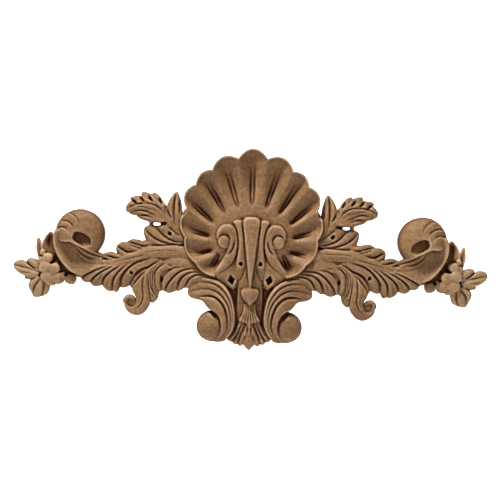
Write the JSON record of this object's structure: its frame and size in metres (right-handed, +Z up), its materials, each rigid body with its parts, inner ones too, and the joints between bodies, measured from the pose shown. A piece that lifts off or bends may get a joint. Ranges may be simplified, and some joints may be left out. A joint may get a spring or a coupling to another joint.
{
  "type": "carved furniture applique",
  "caption": "Carved wooden applique with a fluted scallop shell, scrolled acanthus wings and flower sprays, flat at the back for gluing on.",
  "frame": {"origin": "on the flat back face, on the vertical line of symmetry, level with the middle of the piece's height", "axes": "+X to the right along the length, +Z up towards the shell's crown, +Y into the surface that it is fixed to, so that the carving faces -Y"},
  "size_m": [0.4704, 0.03, 0.2003],
  "materials": {
    "carved_wood": "bare carved hardwood, darker in the grooves"
  },
  "bodies": {
    "root": {"carved_applique": "carved_wood"}
  },
  "joints": []
}
